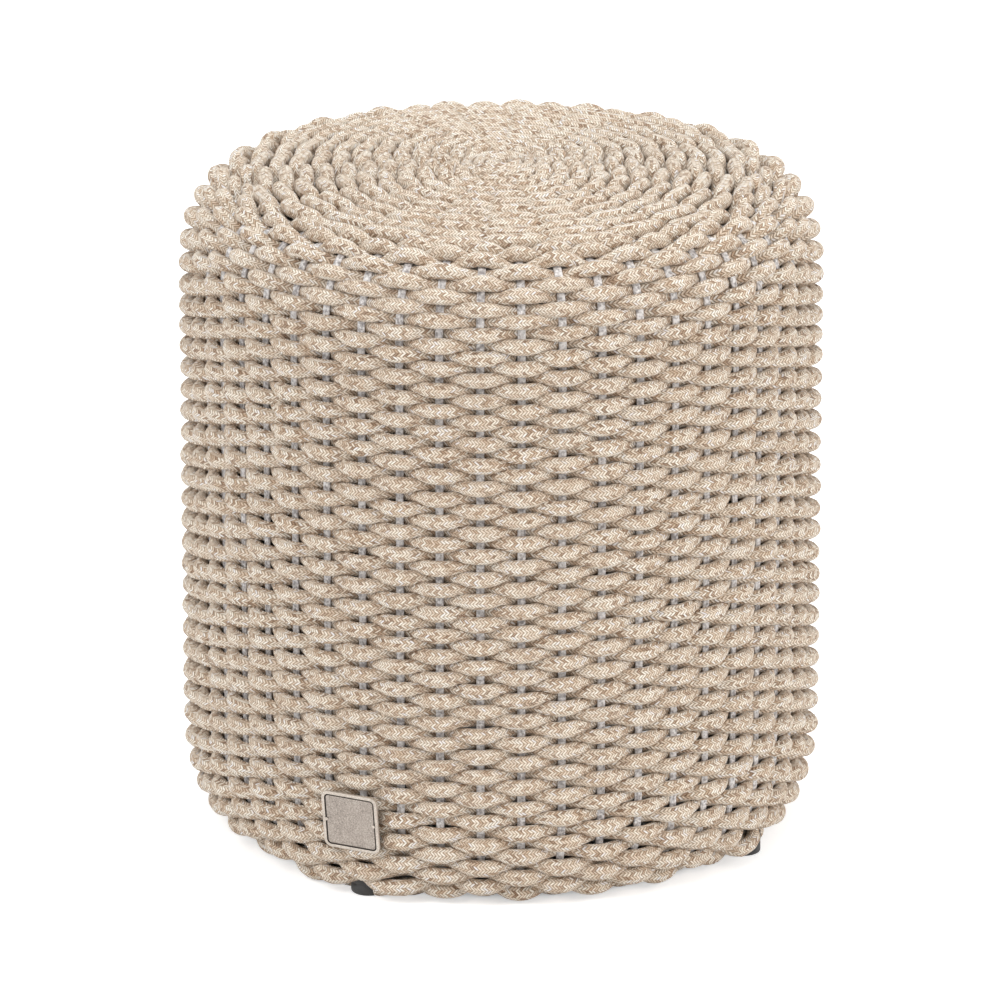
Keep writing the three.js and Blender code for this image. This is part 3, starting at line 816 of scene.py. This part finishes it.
def coil():
    """The rope's end, wound flat at the middle of the top."""
    share = np.linspace(0, 1, COIL_STATIONS)
    angle = COIL_ANGLE + 2 * math.pi * COIL_TURNS * share
    radius = COIL_START + (COIL_RADIUS + COIL_OVERLAP - COIL_START) * share
    start_dip = COIL_START_DIP * np.clip(1 - share / COIL_START_SHARE, 0, 1) ** 2
    end_dip = COIL_END_DIP * np.clip((share - COIL_END_FROM) / COIL_END_SHARE, 0, 1) ** 2
    depth = COIL_DEPTH + (start_dip + end_dip) + COIL_WAVE * np.sin(angle * COIL_WAVES)
    r, z, *tangent = outline_at(radius, depth)
    half_out = np.full(COIL_STATIONS, COIL_HALF_OUT)
    half_side = np.full(COIL_STATIONS, COIL_HALF_SIDE)
    points = swept(r, z, tangent, angle, half_out, half_side)
    steps = np.hypot(np.diff(radius), radius[1:] * np.diff(angle))
    along = np.concatenate([[0], np.cumsum(steps)]) / BRAID_PITCH
    return points, False, np.append(along, along[-1]), COIL_OWN


def bands_of(rows, count):
    edges = [round(i * len(rows) / count) for i in range(count + 1)]
    return [rows[a:b] for a, b in zip(edges, edges[1:])]


for number, rows in enumerate(bands_of(side_rows(), SIDE_BANDS), 1):
    piece = grid_object(f"rope_side_{number:02d}", rows, rope_look)
    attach(piece, body_root)
    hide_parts("weave_side")
for number, rows in enumerate(bands_of(top_rows(), TOP_BANDS), 1):
    piece = grid_object(f"rope_top_{number:02d}", rows, rope_look)
    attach(piece, body_root)
    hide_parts("weave_top")
piece = grid_object("rope_top_coil", [coil()], rope_look)
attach(piece, body_root)
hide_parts("weave_top")

# Straps
BASE_RING_BOTTOM = FLOOR_GAP + STRAP_DEPTH + STRAP_THICKNESS / 2 + SEAT_GAP
RING_INSIDE = foot_edge[0] - RING_TUBE / 2 - STRAP_THICKNESS / 2 - SEAT_GAP
RING_UNDER = BASE_RING_BOTTOM - STRAP_THICKNESS / 2 - SEAT_GAP


def strap_section(half_width):
    """A chamfered rectangle, as (across, out), for a strap of this half width."""
    half_thick = STRAP_THICKNESS / 2
    inner_width, inner_thick = half_width - STRAP_CHAMFER, half_thick - STRAP_CHAMFER
    return np.array(
        [
            (-inner_width, half_thick),
            (inner_width, half_thick),
            (half_width, inner_thick),
            (half_width, -inner_thick),
            (inner_width, -half_thick),
            (-inner_width, -half_thick),
            (-half_width, -inner_thick),
            (-half_width, inner_thick),
        ]
    )


def strap_line(start):
    """Middle line of a strap's leg in its own plane, from start to behind the base ring."""
    on_crown = start < CROWN_END
    distances = np.concatenate(
        [
            np.linspace(start, CROWN_END, LEG_STATIONS["crown"])[:-1] if on_crown else [start],
            np.linspace(max(start, CROWN_END), SHOULDER_END, LEG_STATIONS["shoulder"])[1:-1],
            np.linspace(SHOULDER_END, SIDE_END, LEG_STATIONS["side"])[:-1],
            np.linspace(SIDE_END, FOOT_END, LEG_STATIONS["foot"]),
        ]
    )
    r, z, _, _ = outline_at(distances, STRAP_DEPTH)
    r = np.append(r, [RING_INSIDE + outwards for outwards, _ in LEG_BEND])
    z = np.append(z, [RING_UNDER + up for _, up in LEG_BEND])
    return r, z


def strap_leg(start, angle):
    line = np.stack(strap_line(start), -1)
    along = np.gradient(line, axis=0)
    along /= np.linalg.norm(along, axis=1)[:, None]
    outward = np.stack([-along[:, 1], along[:, 0]], -1)
    section = strap_section(STRAP_WIDTH / 2 - STRAP_INSET)
    across = np.array([-math.sin(angle), math.cos(angle), 0.0])
    radial = np.array([math.cos(angle), math.sin(angle), 0.0])
    upward = np.array([0.0, 0.0, 1.0])
    places = line[:, None, :] + outward[:, None, :] * section[None, :, 1:2]
    points = places[..., 0:1] * radial + places[..., 1:2] * upward
    points = points + section[None, :, 0:1] * across
    run = np.concatenate([[0], np.cumsum(np.linalg.norm(np.diff(line, axis=0), axis=1))])
    return points, False, np.append(run, run[-1]), 0.0


def strap_loop(angle, next_angle):
    """The stretch that crosses behind the base ring from one leg to the next."""
    angles = np.linspace(angle, next_angle, LOOP_STATIONS)
    section = strap_section(LOOP_HEIGHT / 2)
    middle = RING_UNDER + STRAP_THICKNESS / 2 + LOOP_HEIGHT / 2
    radius = RING_INSIDE + section[:, 1]
    points = np.stack(
        [
            radius[None] * np.cos(angles)[:, None],
            radius[None] * np.sin(angles)[:, None],
            np.broadcast_to(middle + section[:, 0], (LOOP_STATIONS, len(section))),
        ],
        -1,
    )
    return points, False, np.arange(LOOP_STATIONS + 1) * LOOP_STEP, 0.0


for index in range(TOP_STRAP_COUNT):
    long_angle = FRONT + (2 * index + 0.5) * STRAP_STEP
    short_angle = long_angle + STRAP_STEP
    piece = grid_object(
        f"webbing_{index + 1:02d}",
        [
            strap_leg(STRAP_END_RADIUS, long_angle),
            strap_leg(WEAVE_CHANGE - STRAP_OVERLAP, short_angle),
            strap_loop(long_angle, short_angle),
        ],
        strap_look,
    )
    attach(piece, body_root)
    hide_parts(f"strap_{index + 1:02d}")


# Turned pieces
def lathe(name, profile, segments, material, centre):
    """A profile of (radius, height) turned about an upright axis, closed at both ends."""
    angles = 2 * np.pi * np.arange(segments) / segments
    profile = np.array(profile, float)
    rings = np.stack(
        [
            profile[1:-1, 0:1] * np.cos(angles)[None],
            profile[1:-1, 0:1] * np.sin(angles)[None],
            np.repeat(profile[1:-1, 1:2], segments, 1),
        ],
        -1,
    ).reshape(-1, 3)
    vertices = [*rings.tolist(), [0, 0, profile[0, 1]], [0, 0, profile[-1, 1]]]
    vertices = np.array(vertices) + np.array(centre)
    count = len(profile) - 2
    faces = []
    for i in range(segments):
        j = (i + 1) % segments
        for k in range(count - 1):
            a, b = k * segments, (k + 1) * segments
            faces.append((a + i, a + j, b + j, b + i))
        faces.append((len(vertices) - 2, j, i))
        last = (count - 1) * segments
        faces.append((len(vertices) - 1, last + i, last + j))
    return mesh_object(name, vertices, faces, material)


GLIDE_PROFILE = [
    (0, 0.6),
    (4.0, 0.6),
    (4.6, 0.0),
    (GLIDE_RADIUS - 1.5, 0.0),
    (GLIDE_RADIUS - 0.9, 0.12),
    (GLIDE_RADIUS - 0.35, 0.5),
    (GLIDE_RADIUS - 0.05, 1.1),
    (GLIDE_RADIUS, 1.8),
    (GLIDE_RADIUS, 6.6),
    (GLIDE_RADIUS - 0.35, 7.0),
    (GLIDE_RADIUS - 0.35, 7.6),
    (GLIDE_RADIUS, 8.0),
    (GLIDE_RADIUS, GLIDE_TOP - 0.5),
    (GLIDE_RADIUS - 0.5, GLIDE_TOP),
    (3.4, GLIDE_TOP),
    (3.4, 5.2),
    (0, 5.2),
]
for index, angle in enumerate(glide_angles, 1):
    centre = (glide_centre_radius * math.cos(angle), glide_centre_radius * math.sin(angle), 0)
    piece = lathe(f"glide_foot_{index}", GLIDE_PROFILE, GLIDE_SEGMENTS, glide_look, centre)
    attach(piece, body_root)
    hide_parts(f"glide_{index}")


# Badge, a bare plate
def badge_matrix():
    """Where the plate lies on the foot of the weave, which leans in."""
    lean = math.radians(BADGE_TILT)
    r, z, _, _ = outline_at(np.linspace(SIDE_END, FOOT_END, FOOT_SAMPLES))
    reach = float(np.max(r - math.tan(lean) * (z - BADGE_HEIGHT))) + SEAT_GAP / math.cos(lean)
    angle = FRONT + math.radians(BADGE_TURN)
    outward = Vector((math.cos(angle), math.sin(angle), 0))
    facing = outward * math.cos(lean)
    facing.z = -math.sin(lean)
    right = Vector((-math.sin(angle), math.cos(angle), 0))
    up = facing.cross(right)
    matrix = Matrix((right, up, facing)).transposed().to_4x4()
    matrix.translation = (outward * reach + Vector((0, 0, BADGE_HEIGHT))) * MM
    return matrix


def rounded_square(half, corner, height):
    points = []
    for quarter in range(4):
        turn = quarter * math.pi / 2
        for step in range(CORNER_POINTS + 1):
            angle = step / CORNER_POINTS * math.pi / 2
            x = half - corner + corner * math.cos(angle)
            y = half - corner + corner * math.sin(angle)
            points.append(
                (
                    x * math.cos(turn) - y * math.sin(turn),
                    x * math.sin(turn) + y * math.cos(turn),
                    height,
                )
            )
    return points


# The plate's section from its back to its face: inset from the edge, and height
BADGE_LEVELS = [
    (0.3, 0.0),
    (0.08, 0.08),
    (0.0, 0.3),
    (0.0, BADGE_THICKNESS - 0.45),
    (0.1, BADGE_THICKNESS - 0.2),
    (0.3, BADGE_THICKNESS - 0.05),
    (0.6, BADGE_THICKNESS),
    (1.75, BADGE_THICKNESS),
    (1.95, BADGE_THICKNESS - 0.05),
    (2.1, BADGE_THICKNESS - 0.25),
    (2.2, BADGE_THICKNESS - 0.8),
    (2.3, BADGE_THICKNESS - 1.15),
    (2.85, BADGE_THICKNESS - 1.15),
    (2.95, BADGE_THICKNESS - 0.8),
    (3.05, BADGE_THICKNESS - 0.5),
    (3.2, BADGE_THICKNESS - 0.38),
    (3.5, BADGE_THICKNESS - 0.35),
]
GROOVE_RINGS = (9, 13)  # first and last ring of faces of the plate's groove
PLATE, RIM, GROOVE = range(3)  # the plate's materials


def badge_plate():
    half = BADGE_SIZE / 2 + BADGE_MARGIN
    vertices, faces = [], []
    for inset, height in BADGE_LEVELS:
        vertices += rounded_square(half - inset, BADGE_CORNER - inset, height)
    rings = len(BADGE_LEVELS) - 1
    size = len(vertices) // len(BADGE_LEVELS)
    for ring in range(rings):
        for i in range(size):
            j = (i + 1) % size
            a, b = ring * size, (ring + 1) * size
            faces.append((a + i, a + j, b + j, b + i))
    faces.append(tuple(reversed(range(size))))
    faces.append(tuple(range(rings * size, len(vertices))))
    piece = mesh_object("badge_face", vertices, faces, badge_look)
    piece.data.materials.append(rim_look)
    piece.data.materials.append(groove_look)
    for face in piece.data.polygons[: size * rings]:
        ring = face.index // size
        if ring < GROOVE_RINGS[0]:
            face.material_index = RIM
        elif ring <= GROOVE_RINGS[1]:
            face.material_index = GROOVE
        else:
            face.material_index = PLATE
    normals = piece.modifiers.new("normals", "WEIGHTED_NORMAL")
    normals.keep_sharp = False
    return piece


badge_place = badge_matrix()
piece = badge_plate()
piece.data.transform(badge_place)
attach(piece, body_root)
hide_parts("badge_plate")

RIVET_PROFILE = [
    (0, -RIVET_LENGTH),
    (1.1, -RIVET_LENGTH),
    (1.1, -RIVET_LENGTH + 0.4),
    (0.8, -RIVET_LENGTH + 0.5),
    (0.8, BADGE_THICKNESS + 0.25),
    (1.1, BADGE_THICKNESS + 0.3),
    (1.12, BADGE_THICKNESS + 0.45),
    (0.95, BADGE_THICKNESS + 0.65),
    (0.55, BADGE_THICKNESS + 0.78),
    (0, BADGE_THICKNESS + 0.8),
]
for side, name in ((-1, "left"), (1, "right")):
    centre = (side * RIVET_OFFSET, 0, 0)
    piece = lathe(f"rivet_{name}", RIVET_PROFILE, RIVET_SEGMENTS, rim_look, centre)
    piece.data.transform(badge_place)
    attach(piece, body_root)
    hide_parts(f"badge_rivet_{name}")

# Finishes of the CAD nodes that stay
for name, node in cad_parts.items():
    if node.hide_render:
        continue
    node.data.materials.clear()
    node.data.materials.append(steel_look if name.startswith("glide_stud") else frame_look)

# Floor. It glows for the camera alone, so that it shows white, and farther out, where the
# lamps light it less, it glows more.
FLOOR_HALF = 12.0
FLOOR_TONE = (0.86, 0.86, 0.86, 1)
WHITE = (1, 1, 1, 1)
GLOW_RISE = 0.1  # for each metre from the middle
GLOW_MIDDLE = 0.3
NEAR_GLOW = 0.55  # up to 2.5 m from the middle
FAR_GLOW = 0.66  # from 3.6 m on
# Under the footstool the floor stays dark, because it shows through the gaps of the weave.
DARK_RADIUS = 0.155
OPEN_RADIUS = 0.175
open_rise = 1 / (OPEN_RADIUS - DARK_RADIUS)

floor_nodes = material_nodes("studio_floor")
away = floor_nodes.node(
    "VectorMath", {"Vector": floor_nodes.place()}, operation="LENGTH"
).outputs["Value"]
growing = floor_nodes.math("MULTIPLY_ADD", away, GLOW_RISE, GLOW_MIDDLE)
growing = floor_nodes.math("MAXIMUM", growing, NEAR_GLOW)
glow = floor_nodes.math("MINIMUM", growing, FAR_GLOW)
open_floor = floor_nodes.math(
    "MULTIPLY_ADD", away, open_rise, -DARK_RADIUS * open_rise, clamp=True
)
glow = floor_nodes.math("MULTIPLY", glow, open_floor)
floor_nodes.set(
    Base_Color=FLOOR_TONE,
    Roughness=0.9,
    Emission_Color=WHITE,
    Emission_Strength=floor_nodes.math("MULTIPLY", floor_nodes.looked_at(), glow),
)
floor_corners = [(-1, -1, 0), (1, -1, 0), (1, 1, 0), (-1, 1, 0)]
floor = mesh_object(
    "floor",
    np.array(floor_corners) * FLOOR_HALF / MM,
    [(0, 1, 2, 3)],
    floor_nodes.owner,
    smooth=False,
)

# Backdrop: white where the camera looks, and dimmer as a light on the object
SKY_TONE = (0.985, 0.995, 1.0, 1)
SKY_STRENGTH = 0.5
world = bpy.data.worlds.new("studio")
bpy.context.scene.world = world
sky = Nodes(world, "Background")
sky.set(Color=SKY_TONE, Strength=SKY_STRENGTH)
white = sky.node("Background", {"Color": WHITE, "Strength": 1.0})
shown = sky.node(
    "MixShader", {0: sky.looked_at(), 1: sky.shader.outputs[0], 2: white.outputs[0]}
)
sky.put(sky.tree.nodes["World Output"].inputs["Surface"], shown.outputs[0])

# Lamps: name, place, height aimed at over the middle, size, watts and tint
LAMPS = [
    ("key", (-2.2, -3.1, 3.2), 0.25, 1.8, 73, (1, 0.985, 0.965)),
    ("fill", (3.0, -2.4, 1.9), 0.2, 2.2, 62, (1, 0.985, 0.965)),
    ("left", (-3.6, -1.0, 1.3), 0.2, 2.0, 34, (0.96, 0.985, 1.0)),
    ("right", (3.6, -0.6, 1.3), 0.2, 2.0, 24, (1, 0.975, 0.93)),
    ("top", (0.2, 0.6, 3.2), 0.4, 1.8, 54, (0.89, 0.96, 1.0)),
]


def turned_to(direction):
    """The rotation of a lamp or camera that faces this way, with its top up."""
    return direction.to_track_quat("-Z", "Y").to_euler()


for name, place, aim_height, size, watts, tint in LAMPS:
    data = bpy.data.lights.new(name, "AREA")
    data.shape = "SQUARE"
    data.size = size
    data.energy = watts
    data.color = tint
    lamp = linked(name, data)
    lamp.location = place
    lamp.rotation_euler = turned_to(Vector((0, 0, aim_height)) - Vector(place))

# Camera
TARGET_HEIGHT = 0.2222
CAMERA_DISTANCE = 5.375
CAMERA_ELEVATION = math.radians(18)
CAMERA_LENS = 293  # millimetres, as is the sensor
CAMERA_SENSOR = 36
CAMERA_SHIFT = (-0.0009, -0.0106)
CAMERA_SIGHT = 60  # how far the camera sees
camera_data = bpy.data.cameras.new("camera")
camera_data.lens = CAMERA_LENS
camera_data.sensor_width = CAMERA_SENSOR
camera_data.shift_x, camera_data.shift_y = CAMERA_SHIFT
camera_data.clip_end = CAMERA_SIGHT
camera = linked("camera", camera_data)
back = Vector((0, -math.cos(CAMERA_ELEVATION), math.sin(CAMERA_ELEVATION)))
camera.location = Vector((0, 0, TARGET_HEIGHT)) + back * CAMERA_DISTANCE
camera.rotation_euler = turned_to(-back)
bpy.context.scene.camera = camera
bpy.context.scene.view_settings.view_transform = "Standard"
